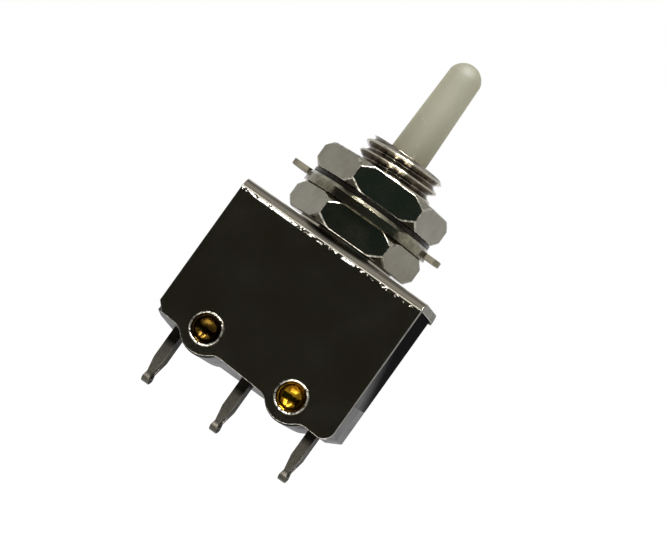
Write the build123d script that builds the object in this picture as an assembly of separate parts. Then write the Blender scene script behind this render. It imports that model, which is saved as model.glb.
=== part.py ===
"""Miniature panel-mount momentary pushbutton switch, in millimetres.

Z runs up the plunger's axis, X across the width and Y through the depth, with the front plate on -Y.
The origin is on the bushing's axis, at the top face of the frame, where the switch is held in a panel.
"""

from build123d import *
from math import asin, cos, pi, radians, sin, tan
import os

# Frame: one steel sheet folded to a U over the case, with two rivet ears on each leg. Its lower edge
# and rivet holes are punched a little askew to the fold, so they drop towards +X. The rear leg is
# drawn in a little all round, so it stays behind the case.
SHEET = 0.65
FRAME_WIDTH = 15.5
FRAME_DEPTH = 9.0
FRAME_BEND = 0.85
LEG_LENGTH = 11.6
PUNCH_SKEW = 3.1
EAR_RADIUS = 1.9
EAR_BLEND = 1.1
CORNER_ROUND = 0.9
CORNER_CUT = 0.6
REAR_LEG_TRIM = 0.3

# Rivets: semi-tubular, set from the front, through both legs and the base. The hollow end is a round cup.
RIVET_INSET = 3.9
RIVET_DROP = 10.55
RIVET_SHANK_RADIUS = 0.95
RIVET_CUP_RADIUS = 1.02
RIVET_CUP_DEPTH = 0.75
RIVET_CUP_STEPS = 3
RIVET_ROLL_RADIUS = 1.24
RIVET_ROLL_HEIGHT = 0.3
RIVET_ROLL_EDGE = 0.14
RIVET_HEAD_RADIUS = 1.5
RIVET_HEAD_FLAT_RADIUS = 0.95
RIVET_HEAD_RIM = 0.2
RIVET_HEAD_HEIGHT = 0.5
RIVET_HOLE_GAP = 0.03

# Bushing: quarter-inch thread. Its crest is modelled where the thread is free, and the stretch inside
# the nuts and washers is turned down to the radius on which the nuts' own thread sits.
THREAD_RADIUS = 3.175
ENGAGED_RADIUS = 2.92
THREAD_RELIEF = 0.15
BUSHING_HEIGHT = 7.8
BUSHING_CHAMFER = 0.3
SHOULDER_RADIUS = 3.9
SHOULDER_HEIGHT = 0.25
SPIGOT_RADIUS = 2.85
STAKE_RADIUS = 3.5
STAKE_THICKNESS = 0.45
MOUTH_RADIUS = 1.55
MOUTH_LENGTH = 0.9
MOUTH_CHAMFER = 0.15
SPRING_CHAMBER_RADIUS = 2.25
KEYWAY_WIDTH = 1.0
KEYWAY_FLOOR = 2.62

# Hex nuts, lock washer and locking ring, stacked from the bushing's shoulder upwards.
NUT_FLATS = 9.3
NUT_THICKNESS = 2.14
NUT_CHAMFER_ANGLE = 52
NUT_FACE_RADIUS = 4.9
NUT_COUNTERSINK = 0.22
LOWER_NUT_TURN = 7.7
UPPER_NUT_TURN = 13.3
RING_THICKNESS = 0.88
RING_RADIUS = 5.2
RING_EDGE = 0.25
RING_BORE_GAP = 0.12
RING_KEY_GAP = 0.08
TONGUE_LENGTH = 1.36
TONGUE_WIDTH = 1.9
TONGUE_THICKNESS = 0.42
TONGUE_RISE = 0.2
NUB_LENGTH = 1.1
NUB_WIDTH = 1.5
WASHER_RADIUS = 4.95
WASHER_RIM = 0.85
WASHER_THICKNESS = 0.26
WASHER_GAP = 0.34
WASHER_TEETH = 10
WASHER_TOOTH_WIDTH = 1.05
WASHER_TOOTH_TWIST = 9.0

# Plunger: tapered nylon shaft, a shoulder under the bushing's mouth and a stem down into the housing.
PLUNGER_RADIUS = 1.465
PLUNGER_TIP_RADIUS = 1.27
PLUNGER_REACH = 8.1
PLUNGER_DOME = 1.0
PLUNGER_STRAIGHT = 0.2
PLUNGER_SHOULDER_RADIUS = 2.1
PLUNGER_SHOULDER_LENGTH = 0.9
STEM_RADIUS = 1.0
STEM_DROP = 4.4

# Case: upper housing and base, clamped between the legs of the frame.
CASE_SIDE_INSET = 0.12
CASE_FACE_GAP = 0.03
CASE_EDGE = 0.3
PARTING_DROP = 8.72
HOUSING_TOP_WALL = 1.05
HOUSING_SIDE_WALL = 1.12
HOUSING_FACE_WALL = 0.95
STAKE_GAP = 0.05
SEAT_BOSS_HEIGHT = 0.5
SEAT_BOSS_GAP = 0.1
STEM_HOLE_GAP = 0.08
BASE_DROP = 12.1
BASE_FLOOR_DROP = 9.25
BASE_FRONT_RISE = 0.9
BASE_CORNER_WIDTH = 1.1
BASE_CORNER_RISE = 0.6
BASE_BOSS_RADIUS = 2.0

# Solder terminals: flat lugs on edge, coined to a waist where the solder eye is. Rises are from the tip.
TERMINAL_INSET = 1.58
TERMINAL_THICKNESS = 0.8
TERMINAL_DEPTH = 1.8
TERMINAL_DROP = 16.05
EYE_RADIUS = 0.45
EYE_RISE = 0.88
TIP_THICKNESS = 0.6
TIP_RISE = 0.35
WAIST_THICKNESS = 0.38
WAIST_RISE = 0.8
TAPER_RISE = 1.95
TIP_EDGE = 0.12
SLOT_GAP = 0.02
FULCRUM_RADIUS = 0.25
FULCRUM_NECK = 0.9

# Contacts: small silver pads welded under the rocker and on the outer terminals' feet.
CONTACT_INSET = 1.65
CONTACT_RADIUS = 0.7
CONTACT_FACE_RADIUS = 0.4
CONTACT_BEVEL = 0.08
FIXED_CONTACT_HEIGHT = 0.15
MOVING_CONTACT_HEIGHT = 0.25
CONTACT_GAP = 0.02
FOOT_MARGIN = 0.2

# Rocker: see-saw arm on the common terminal's rounded end.
ROCKER_TILT = 5.0
ROCKER_SHEET = 0.35
ROCKER_SAG = 0.05
ROCKER_WIDTH = 3.0
ROCKER_END_MARGIN = 0.1
FULCRUM_GAP = 0.05

# Pusher and its springs.
SEAT_COLLAR_RADIUS = 2.0
SEAT_COLLAR_THICKNESS = 0.5
SEAT_COLLAR_GAP = 0.1
PUSHER_TOP_DROP = 5.9
PUSHER_THICKNESS = 0.6
PUSHER_LEFT = 1.9
PUSHER_RIGHT = 3.1
PUSHER_DEPTH = 4.6
PUSHER_HOLE_GAP = 0.15
PUSH_OFFSET = 2.3
PUSH_FOOT_RADIUS = 0.4
PUSH_FOOT_DEPTH = 2.4
PUSH_GAP = 0.04
RETURN_COIL_RADIUS = 1.6
RETURN_WIRE_RADIUS = 0.17
RETURN_TURNS = 8
OVERTRAVEL_COIL_RADIUS = 1.5
OVERTRAVEL_WIRE_RADIUS = 0.14
OVERTRAVEL_TURNS = 4
BIAS_GAP = 0.09
BIAS_COIL_RADIUS = 0.7
BIAS_WIRE_RADIUS = 0.11
BIAS_TURNS = 7
SPRING_SEAT_GAP = 0.02
COIL_RUNS = 7
WIRE_SIDES = 6

# Levels that follow from the sizes above.
LOWER_NUT_BASE = SHOULDER_HEIGHT
RING_BASE = LOWER_NUT_BASE + NUT_THICKNESS
WASHER_BASE = RING_BASE + RING_THICKNESS
UPPER_NUT_BASE = WASHER_BASE + WASHER_GAP
THREAD_START = UPPER_NUT_BASE + NUT_THICKNESS + THREAD_RELIEF
STAKE_BOTTOM = -SHEET - STAKE_THICKNESS
MOUTH_BOTTOM = BUSHING_HEIGHT - MOUTH_LENGTH
RIVET_OFFSET = FRAME_WIDTH / 2 - RIVET_INSET
CASE_WIDTH = FRAME_WIDTH - 2 * CASE_SIDE_INSET
CASE_DEPTH = FRAME_DEPTH - 2 * SHEET - 2 * CASE_FACE_GAP
CASE_TOP = -SHEET
TERMINAL_PITCH = CASE_WIDTH / 2 - TERMINAL_INSET
CONTACT_OFFSET = TERMINAL_PITCH - CONTACT_INSET
BIAS_OFFSET = SEAT_COLLAR_RADIUS + BIAS_GAP + BIAS_WIRE_RADIUS + BIAS_COIL_RADIUS
RECESS_FLOOR = STAKE_BOTTOM - STAKE_GAP
SPRING_BOSS_TOP = RECESS_FLOOR + SEAT_BOSS_HEIGHT
CEILING = RECESS_FLOOR - HOUSING_TOP_WALL
CAVITY_WIDTH = CASE_WIDTH - 2 * HOUSING_SIDE_WALL
CAVITY_DEPTH = CASE_DEPTH - 2 * HOUSING_FACE_WALL
SHOULDER_TOP = MOUTH_BOTTOM - STAKE_GAP
SHOULDER_BOTTOM = SHOULDER_TOP - PLUNGER_SHOULDER_LENGTH
FOOT_TOP = -BASE_FLOOR_DROP + TERMINAL_THICKNESS
FIXED_CONTACT_TOP = FOOT_TOP + FIXED_CONTACT_HEIGHT
COLLAR_TOP = CEILING - SEAT_COLLAR_GAP
COLLAR_BOTTOM = COLLAR_TOP - SEAT_COLLAR_THICKNESS
PUSHER_TOP = -PUSHER_TOP_DROP
ROCKER_TOP = ROCKER_SHEET - ROCKER_SAG

# The rocker's pivot stands where its closed side just reaches the fixed contact.
CLOSED_REACH = (CONTACT_OFFSET + CONTACT_FACE_RADIUS) * sin(radians(ROCKER_TILT))
CLOSED_DROP = CLOSED_REACH + (ROCKER_SAG + MOVING_CONTACT_HEIGHT) * cos(radians(ROCKER_TILT))
PIVOT_Z = FIXED_CONTACT_TOP + CONTACT_GAP + CLOSED_DROP

BIG = 3 * FRAME_WIDTH


def block(x0, x1, y0, y1, z0, z1):
    """A box between two opposite corners."""
    box = Box(x1 - x0, y1 - y0, z1 - z0)
    return Pos((x0 + x1) / 2, (y0 + y1) / 2, (z0 + z1) / 2) * box


def post(radius, z0, z1, x=0.0, y=0.0):
    """An upright cylinder from z0 to z1."""
    return Pos(x, y, (z0 + z1) / 2) * Cylinder(radius, z1 - z0)


def lying(radius, y0, y1, x, z):
    """A cylinder along Y."""
    return Pos(x, (y0 + y1) / 2, z) * Rot(90, 0, 0) * Cylinder(radius, y1 - y0)


def dome(radius, z0, height):
    """A low dome on a disc, turned from the arc of a circle whose centre is on the axis."""
    sphere_radius = (radius**2 + height**2) / (2 * height)
    centre = z0 + height - sphere_radius
    middle = asin(radius / sphere_radius) / 2
    top = (0, 0, z0 + height)
    waist = (sphere_radius * sin(middle), 0, centre + sphere_radius * cos(middle))
    arc = ThreePointArc((radius, 0, z0), waist, top)
    return revolve(make_face([arc, Polyline(top, (0, 0, z0), (radius, 0, z0))]), Axis.Z)


def turned(points):
    """A solid of revolution about Z from straight runs through (radius, height) points."""
    face = make_face(Polyline([(r, 0, z) for r, z in points], close=True))
    return revolve(face, Axis.Z)


def coil(mean_radius, wire_radius, turns, z0, z1, x=0.0):
    """A compression spring whose wire just fits between z0 and z1, swept in short straight runs."""
    height = z1 - z0 - 2 * wire_radius
    runs = turns * COIL_RUNS
    line = Helix(pitch=height / turns, height=height, radius=mean_radius)
    path = Polyline([line @ (n / runs) for n in range(runs + 1)])
    section = Plane(origin=path @ 0, z_dir=path % 0) * RegularPolygon(wire_radius, WIRE_SIDES)
    return Pos(x, 0, z0 + wire_radius) * sweep(section, path=path, transition=Transition.RIGHT)


def askew(x, drop):
    """The height of a punched feature that lies at x and would be at -drop if it were punched square."""
    return -drop - x * tan(radians(PUNCH_SKEW))


def leg_outline(trim):
    """The front view of a leg, drawn in by the trim: square top, round rivet ears and two lower corners."""
    half, reach = FRAME_WIDTH / 2 - trim, LEG_LENGTH - trim
    low_left, low_right = (-half, askew(-half, reach)), (half, askew(half, reach))
    plate = make_face(Polyline((-half, 0), low_left, low_right, (half, 0), close=True))
    for side in (-1, 1):
        plate += Pos(side * RIVET_OFFSET, askew(side * RIVET_OFFSET, RIVET_DROP)) * Circle(EAR_RADIUS - trim)
    blends = [v for v in plate.vertices() if v.Y < -LEG_LENGTH / 2 and abs(v.X) < half - CORNER_ROUND]
    plate = fillet(blends, EAR_BLEND)
    plate = fillet(plate.vertices().sort_by_distance(low_right)[0], CORNER_ROUND)
    return chamfer(plate.vertices().sort_by_distance(low_left)[0], CORNER_CUT)


def through(sketch, depth):
    """A front-view sketch made solid through the depth, centred on Y."""
    return extrude(Plane.XZ * sketch, depth / 2, both=True)


def at_rivets(radius, depth):
    """Two cylinders along Y, one on each rivet's line."""
    lines = [(side * RIVET_OFFSET, askew(side * RIVET_OFFSET, RIVET_DROP)) for side in (-1, 1)]
    return [lying(radius, -depth / 2, depth / 2, x, z) for x, z in lines]


def make_frame():
    reach = RIVET_DROP + 2 * EAR_RADIUS
    outer = Pos(0, -reach / 2) * Rectangle(FRAME_DEPTH, reach)
    outer = fillet(outer.vertices().group_by(Axis.Y)[-1], FRAME_BEND)
    inner_drop = reach - SHEET
    inner = Pos(0, -SHEET - inner_drop / 2) * Rectangle(FRAME_DEPTH - 2 * SHEET, inner_drop)
    inner = fillet(inner.vertices().group_by(Axis.Y)[-1], FRAME_BEND - SHEET)
    channel = extrude(Plane.YZ * (outer - inner), FRAME_WIDTH / 2, both=True)
    frame = channel & through(leg_outline(0), BIG)
    behind = block(-FRAME_WIDTH, FRAME_WIDTH, 0, FRAME_DEPTH, -BIG, -FRAME_BEND)
    frame -= behind - through(leg_outline(REAR_LEG_TRIM), BIG)
    frame -= post(SPIGOT_RADIUS, -BIG, BIG)
    return frame - at_rivets(RIVET_SHANK_RADIUS, BIG)


def make_bushing():
    outside = [
        (SPRING_CHAMBER_RADIUS, STAKE_BOTTOM),
        (STAKE_RADIUS, STAKE_BOTTOM),
        (STAKE_RADIUS, -SHEET),
        (SPIGOT_RADIUS, -SHEET),
        (SPIGOT_RADIUS, 0),
        (SHOULDER_RADIUS, 0),
        (SHOULDER_RADIUS, SHOULDER_HEIGHT),
        (ENGAGED_RADIUS, SHOULDER_HEIGHT),
        (ENGAGED_RADIUS, THREAD_START),
        (THREAD_RADIUS, THREAD_START),
        (THREAD_RADIUS, BUSHING_HEIGHT - BUSHING_CHAMFER),
        (THREAD_RADIUS - BUSHING_CHAMFER, BUSHING_HEIGHT),
        (MOUTH_RADIUS + MOUTH_CHAMFER, BUSHING_HEIGHT),
        (MOUTH_RADIUS, BUSHING_HEIGHT - MOUTH_CHAMFER),
        (MOUTH_RADIUS, MOUTH_BOTTOM),
        (SPRING_CHAMBER_RADIUS, MOUTH_BOTTOM),
    ]
    bushing = turned(outside)
    half = KEYWAY_WIDTH / 2
    return bushing - block(-BIG, -KEYWAY_FLOOR, -half, half, SHOULDER_HEIGHT, BIG)


def make_nut(z0, turn):
    corner = NUT_FLATS / 2 / cos(pi / 6)
    nut = Pos(0, 0, z0) * extrude(RegularPolygon(corner, 6), NUT_THICKNESS)
    drop = (corner - NUT_FACE_RADIUS) * tan(radians(NUT_CHAMFER_ANGLE))
    top = z0 + NUT_THICKNESS
    crown = [
        (ENGAGED_RADIUS + NUT_COUNTERSINK, z0),
        (NUT_FACE_RADIUS, z0),
        (corner, z0 + drop),
        (corner, top - drop),
        (NUT_FACE_RADIUS, top),
        (ENGAGED_RADIUS + NUT_COUNTERSINK, top),
        (ENGAGED_RADIUS, top - NUT_COUNTERSINK),
        (ENGAGED_RADIUS, z0 + NUT_COUNTERSINK),
    ]
    return Rot(0, 0, turn) * (nut & turned(crown))


def make_locking_ring():
    bore = THREAD_RADIUS + RING_BORE_GAP
    top = RING_BASE + RING_THICKNESS
    ring = turned(
        [
            (bore, RING_BASE),
            (RING_RADIUS, RING_BASE),
            (RING_RADIUS, top - RING_EDGE),
            (RING_RADIUS - RING_EDGE, top),
            (bore, top),
        ]
    )
    low = RING_BASE + (RING_THICKNESS - TONGUE_THICKNESS) / 2
    high = low + TONGUE_THICKNESS
    root, tip, half = RING_EDGE - RING_RADIUS, -RING_RADIUS - TONGUE_LENGTH, TONGUE_WIDTH / 2
    tongue = block(tip, root, -half, half, low + TONGUE_RISE, high + TONGUE_RISE)
    tongue = fillet(tongue.edges().filter_by(Axis.Z).group_by(Axis.X)[0], TONGUE_WIDTH / 3)
    root, tip, half = RING_RADIUS - RING_EDGE, RING_RADIUS + NUB_LENGTH, NUB_WIDTH / 2
    nub = block(root, tip, -half, half, low, high)
    nub = chamfer(nub.edges().filter_by(Axis.Z).group_by(Axis.X)[-1], NUB_WIDTH / 4)
    half = KEYWAY_WIDTH / 2 - RING_KEY_GAP
    key = block(-bore - RING_EDGE, -KEYWAY_FLOOR - RING_KEY_GAP, -half, half, RING_BASE, top)
    return ring + tongue + nub + key


def make_lock_washer():
    inner = WASHER_RADIUS - WASHER_RIM
    middle = WASHER_BASE + WASHER_GAP / 2
    low, high = middle - WASHER_THICKNESS / 2, middle + WASHER_THICKNESS / 2
    washer = post(WASHER_RADIUS, low, high) - post(inner, low, high)
    start = THREAD_RADIUS + RING_BORE_GAP
    length = inner + WASHER_RIM / 2 - start
    tooth = Box(length, WASHER_TOOTH_WIDTH, WASHER_THICKNESS / 2)
    tooth = Pos(start + length / 2, 0, middle) * Rot(WASHER_TOOTH_TWIST, 0, 0) * tooth
    for n in range(WASHER_TEETH):
        washer += Rot(0, 0, 360 * n / WASHER_TEETH) * tooth
    return washer


def make_plunger():
    waist = BUSHING_HEIGHT + PLUNGER_REACH - PLUNGER_DOME
    shaft = turned(
        [
            (0, waist),
            (0, -STEM_DROP),
            (STEM_RADIUS, -STEM_DROP),
            (STEM_RADIUS, SHOULDER_BOTTOM),
            (PLUNGER_SHOULDER_RADIUS, SHOULDER_BOTTOM),
            (PLUNGER_SHOULDER_RADIUS, SHOULDER_TOP),
            (PLUNGER_RADIUS, SHOULDER_TOP),
            (PLUNGER_RADIUS, BUSHING_HEIGHT + PLUNGER_STRAIGHT),
            (PLUNGER_TIP_RADIUS, waist),
        ]
    )
    return shaft + dome(PLUNGER_TIP_RADIUS, waist, PLUNGER_DOME)


def case_blank(z0, z1):
    half_x, half_y = CASE_WIDTH / 2, CASE_DEPTH / 2
    blank = block(-half_x, half_x, -half_y, half_y, z0, z1)
    return fillet(blank.edges().filter_by(Axis.Z), CASE_EDGE)


def top_cut():
    """What the slanted upper edges of the case leave standing, so that it fits in the frame's bends."""
    half = CASE_DEPTH / 2
    low, top = -BIG, CASE_TOP
    profile = Polyline(
        (-half, low), (-half, top - CASE_EDGE), (CASE_EDGE - half, top),
        (half - CASE_EDGE, top), (half, top - CASE_EDGE), (half, low), close=True,
    )
    return extrude(Plane.YZ * make_face(profile), BIG / 2, both=True)


def make_housing():
    housing = case_blank(-PARTING_DROP, CASE_TOP) & top_cut()
    half_x, half_y = CAVITY_WIDTH / 2, CAVITY_DEPTH / 2
    housing -= block(-half_x, half_x, -half_y, half_y, -BIG, CEILING)
    housing -= post(STAKE_RADIUS + SEAT_BOSS_GAP, RECESS_FLOOR, BIG)
    housing += post(SPRING_CHAMBER_RADIUS - SEAT_BOSS_GAP, RECESS_FLOOR, SPRING_BOSS_TOP)
    return housing - post(STEM_RADIUS + STEM_HOLE_GAP, -BIG, BIG)


def base_blank():
    """The base's body: its underside rises to the front, and its lower corners are cut."""
    body = case_blank(-BASE_DROP, -PARTING_DROP)
    front, back = -CASE_DEPTH / 2, CASE_DEPTH / 2
    raised = (front, BASE_FRONT_RISE - BASE_DROP)
    wedge = make_face(Polyline((front, -BASE_DROP), raised, (back, -BASE_DROP), close=True))
    body -= extrude(Plane.YZ * wedge, CASE_WIDTH, both=True)
    for side in (-1, 1):
        end = side * CASE_WIDTH / 2
        level = (end - side * BASE_CORNER_WIDTH, -BASE_DROP)
        raised = (end, BASE_CORNER_RISE - BASE_DROP)
        corner = make_face(Polyline(level, (end, -BASE_DROP), raised, close=True))
        body -= through(corner, 2 * CASE_DEPTH)
    return body


def make_base():
    body = base_blank()
    for boss in at_rivets(BASE_BOSS_RADIUS, CASE_DEPTH):
        body += boss - block(-BIG, BIG, -BIG, BIG, -PARTING_DROP, BIG)
    wide, deep = CAVITY_WIDTH / 2, CAVITY_DEPTH / 2
    body -= block(-wide, wide, -deep, deep, -BASE_FLOOR_DROP, 0)
    for place in (-TERMINAL_PITCH, 0, TERMINAL_PITCH):
        slot_x = TERMINAL_THICKNESS / 2 + SLOT_GAP
        slot_y = TERMINAL_DEPTH / 2 + SLOT_GAP
        body -= block(place - slot_x, place + slot_x, -slot_y, slot_y, -BIG, 0)
    return body - at_rivets(RIVET_SHANK_RADIUS + RIVET_HOLE_GAP, BIG)


def make_rivets():
    """Semi-tubular rivets: a domed head on the back leg, a hollow end rolled over on the front leg."""
    front, back = FRAME_DEPTH / 2, -FRAME_DEPTH / 2
    rim = front + RIVET_ROLL_HEIGHT
    lip = rim - RIVET_ROLL_EDGE
    crest = (RIVET_CUP_RADIUS + RIVET_ROLL_RADIUS) / 2
    deep = RIVET_CUP_DEPTH + RIVET_ROLL_HEIGHT - RIVET_ROLL_EDGE
    angles = [pi / 2 * n / RIVET_CUP_STEPS for n in range(RIVET_CUP_STEPS)]
    cup = [(RIVET_CUP_RADIUS * cos(a), lip - deep * sin(a)) for a in angles]
    rivet = turned(
        [
            (0, back - RIVET_HEAD_HEIGHT),
            (RIVET_HEAD_FLAT_RADIUS, back - RIVET_HEAD_HEIGHT),
            (RIVET_HEAD_RADIUS, back - RIVET_HEAD_RIM),
            (RIVET_HEAD_RADIUS, back),
            (RIVET_SHANK_RADIUS, back),
            (RIVET_SHANK_RADIUS, front),
            (RIVET_ROLL_RADIUS, front),
            (RIVET_ROLL_RADIUS, lip),
            (crest, rim),
            *cup,
            (0, lip - deep),
        ]
    )
    lines = [(side * RIVET_OFFSET, askew(side * RIVET_OFFSET, RIVET_DROP)) for side in (-1, 1)]
    return [Pos(x, 0, z) * Rot(90, 0, 0) * rivet for x, z in lines]


def make_lug(x, z_top):
    """The straight lug of a terminal, from its tip up to z_top."""
    half = TERMINAL_DEPTH / 2
    height = z_top + TERMINAL_DROP
    side_view = Pos(0, z_top - height / 2) * Rectangle(TERMINAL_DEPTH, height)
    side_view = fillet(side_view.vertices().group_by(Axis.Y)[0], half - TIP_EDGE)
    lug = extrude(Plane.YZ * side_view, TERMINAL_THICKNESS / 2, both=True)
    right = [
        (TIP_THICKNESS / 2, 0),
        (TIP_THICKNESS / 2, TIP_RISE),
        (WAIST_THICKNESS / 2, WAIST_RISE),
        (TERMINAL_THICKNESS / 2, TAPER_RISE),
        (TERMINAL_THICKNESS / 2, height),
    ]
    left = [(-half_width, rise) for half_width, rise in reversed(right)]
    lug &= through(Pos(0, -TERMINAL_DROP) * make_face(Polyline(*right, *left, close=True)), BIG)
    lug -= Pos(0, 0, EYE_RISE - TERMINAL_DROP) * Rot(0, 90, 0) * Cylinder(EYE_RADIUS, BIG)
    return Pos(x, 0, 0) * lug


def make_outer_terminal(side):
    lug = make_lug(side * TERMINAL_PITCH, FOOT_TOP)
    inner = CONTACT_OFFSET - CONTACT_RADIUS - FOOT_MARGIN
    outer = TERMINAL_PITCH + TERMINAL_THICKNESS / 2
    x0, x1 = sorted((side * inner, side * outer))
    half = TERMINAL_DEPTH / 2
    return lug + block(x0, x1, -half, half, -BASE_FLOOR_DROP, FOOT_TOP)


def make_common_terminal():
    lug = make_lug(0, PIVOT_Z - FULCRUM_NECK)
    half = TERMINAL_DEPTH / 2
    neck = block(-FULCRUM_RADIUS, FULCRUM_RADIUS, -half, half, PIVOT_Z - FULCRUM_NECK, PIVOT_Z)
    return lug + neck + lying(FULCRUM_RADIUS, -half, half, 0, PIVOT_Z)


def make_fixed_contact(side):
    return post(CONTACT_RADIUS, FOOT_TOP, FIXED_CONTACT_TOP, side * CONTACT_OFFSET)


def at_rocker(shape):
    """Take a shape drawn about the level rocker's pivot to its place at rest, left arm down."""
    return Pos(0, 0, PIVOT_Z) * Rot(0, -ROCKER_TILT, 0) * shape


def make_rocker():
    end = CONTACT_OFFSET + CONTACT_RADIUS + ROCKER_END_MARGIN
    arms = Pos(0, ROCKER_SHEET / 2 - ROCKER_SAG) * Rectangle(2 * end, ROCKER_SHEET)
    inner = FULCRUM_RADIUS + FULCRUM_GAP
    arch = Circle(inner + ROCKER_SHEET) & Pos(0, BIG / 2 - ROCKER_SAG) * Rectangle(BIG, BIG)
    profile = arms + arch - Circle(inner) - Pos(0, -inner) * Rectangle(2 * inner, 2 * inner)
    return at_rocker(through(profile, ROCKER_WIDTH))


def make_moving_contacts():
    low = -ROCKER_SAG - MOVING_CONTACT_HEIGHT
    contact = turned(
        [
            (0, low),
            (CONTACT_FACE_RADIUS, low),
            (CONTACT_RADIUS, low + CONTACT_BEVEL),
            (CONTACT_RADIUS, -ROCKER_SAG),
            (0, -ROCKER_SAG),
        ]
    )
    return [at_rocker(Pos(side * CONTACT_OFFSET, 0, 0) * contact) for side in (-1, 1)]


def make_spring_seat():
    return post(SEAT_COLLAR_RADIUS, COLLAR_BOTTOM, COLLAR_TOP) - post(STEM_RADIUS, -BIG, BIG)


def make_pusher():
    half = PUSHER_DEPTH / 2
    bottom = PUSHER_TOP - PUSHER_THICKNESS
    pusher = block(-PUSHER_LEFT, PUSHER_RIGHT, -half, half, bottom, PUSHER_TOP)
    pusher -= post(STEM_RADIUS + PUSHER_HOLE_GAP, -BIG, BIG)
    tilt = radians(ROCKER_TILT)
    clear = ROCKER_TOP + PUSH_FOOT_RADIUS + PUSH_GAP
    foot_z = PIVOT_Z + (clear + PUSH_OFFSET * sin(tilt)) / cos(tilt)
    deep = PUSH_FOOT_DEPTH / 2
    left, right = PUSH_OFFSET - PUSH_FOOT_RADIUS, PUSH_OFFSET + PUSH_FOOT_RADIUS
    foot = block(left, right, -deep, deep, foot_z, bottom)
    return pusher + foot + lying(PUSH_FOOT_RADIUS, -deep, deep, PUSH_OFFSET, foot_z)


def make_return_spring():
    low, high = SPRING_BOSS_TOP + SPRING_SEAT_GAP, SHOULDER_BOTTOM - SPRING_SEAT_GAP
    return coil(RETURN_COIL_RADIUS, RETURN_WIRE_RADIUS, RETURN_TURNS, low, high)


def make_overtravel_spring():
    low, high = PUSHER_TOP + SPRING_SEAT_GAP, COLLAR_BOTTOM - SPRING_SEAT_GAP
    return coil(OVERTRAVEL_COIL_RADIUS, OVERTRAVEL_WIRE_RADIUS, OVERTRAVEL_TURNS, low, high)


def make_bias_spring():
    tilt = radians(ROCKER_TILT)
    inner_side = BIAS_OFFSET - BIAS_COIL_RADIUS - BIAS_WIRE_RADIUS
    arm = PIVOT_Z + ROCKER_TOP / cos(tilt) - inner_side * tan(tilt)
    low, high = arm + SPRING_SEAT_GAP, CEILING - SPRING_SEAT_GAP
    return coil(BIAS_COIL_RADIUS, BIAS_WIRE_RADIUS, BIAS_TURNS, low, high, -BIAS_OFFSET)


NODES = {
    "frame": make_frame(),
    "bushing": make_bushing(),
    "lower_nut": make_nut(LOWER_NUT_BASE, LOWER_NUT_TURN),
    "locking_ring": make_locking_ring(),
    "lock_washer": make_lock_washer(),
    "upper_nut": make_nut(UPPER_NUT_BASE, UPPER_NUT_TURN),
    "plunger": make_plunger(),
    "return_spring": make_return_spring(),
    "housing": make_housing(),
    "base": make_base(),
    "rivets": make_rivets(),
    "terminal_nc": make_outer_terminal(-1),
    "terminal_common": make_common_terminal(),
    "terminal_no": make_outer_terminal(1),
    "fixed_contact_nc": make_fixed_contact(-1),
    "fixed_contact_no": make_fixed_contact(1),
    "rocker": make_rocker(),
    "moving_contacts": make_moving_contacts(),
    "spring_seat": make_spring_seat(),
    "pusher": make_pusher(),
    "overtravel_spring": make_overtravel_spring(),
    "bias_spring": make_bias_spring(),
}

os.makedirs("parts", exist_ok=True)
for name, shape in NODES.items():
    solids = shape if isinstance(shape, list) else [shape]
    found = [solid for item in solids for solid in item.solids()]
    export_step(found[0] if len(found) == 1 else Compound(children=found), f"parts/{name}.step")
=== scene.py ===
"""Looks of a miniature panel-mount pushbutton switch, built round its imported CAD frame, in metres.

The switch stands upright, with its plunger along +Z and its front plate towards -Y. Sizes that carry
MM are written in millimetres, and heights are above the top face of the frame.
"""

import math

import bmesh
import bpy
from mathutils import Matrix, Vector


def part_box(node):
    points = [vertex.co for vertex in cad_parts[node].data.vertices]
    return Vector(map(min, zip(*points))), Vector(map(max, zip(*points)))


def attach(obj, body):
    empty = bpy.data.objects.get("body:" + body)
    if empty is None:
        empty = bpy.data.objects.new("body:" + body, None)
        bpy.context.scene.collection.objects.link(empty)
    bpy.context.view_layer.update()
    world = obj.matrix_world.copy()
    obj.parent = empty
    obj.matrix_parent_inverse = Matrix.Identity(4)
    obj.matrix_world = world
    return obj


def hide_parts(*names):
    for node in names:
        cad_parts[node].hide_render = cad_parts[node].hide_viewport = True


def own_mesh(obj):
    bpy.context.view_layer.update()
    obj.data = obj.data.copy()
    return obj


MM = 0.001
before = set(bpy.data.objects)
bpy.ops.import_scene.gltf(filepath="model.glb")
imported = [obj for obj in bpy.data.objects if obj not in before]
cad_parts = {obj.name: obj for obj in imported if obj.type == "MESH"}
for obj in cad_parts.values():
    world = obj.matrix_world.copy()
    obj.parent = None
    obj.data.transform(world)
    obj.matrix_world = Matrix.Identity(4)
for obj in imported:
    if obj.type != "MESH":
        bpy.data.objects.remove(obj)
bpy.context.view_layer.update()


# Small tools


def add(tree, kind, inputs=None, **settings):
    """Adds a node to a tree: settings are its own, inputs are plain values or the sockets that feed it."""
    made = tree.nodes.new(kind)
    for key, value in settings.items():
        setattr(made, key, value)
    for key, value in (inputs or {}).items():
        if isinstance(value, bpy.types.NodeSocket):
            tree.links.new(value, made.inputs[key])
        else:
            made.inputs[key].default_value = value
    return made


def linear(code):
    """An sRGB hex colour as linear red, green, blue and alpha."""
    parts = [int(code[n : n + 2], 16) / 255 for n in (0, 2, 4)]
    return [p / 12.92 if p <= 0.04045 else ((p + 0.055) / 1.055) ** 2.4 for p in parts] + [1.0]


def per_mm(size):
    """The scale at which one cell of a pattern is this many millimetres across."""
    return 1 / (size * MM)


def towards(azimuth, elevation):
    """The direction of a place seen from the switch: azimuth 0 is in front of the front plate."""
    a, e = math.radians(azimuth), math.radians(elevation)
    return Vector((math.sin(a) * math.cos(e), -math.cos(a) * math.cos(e), math.sin(e)))


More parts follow.
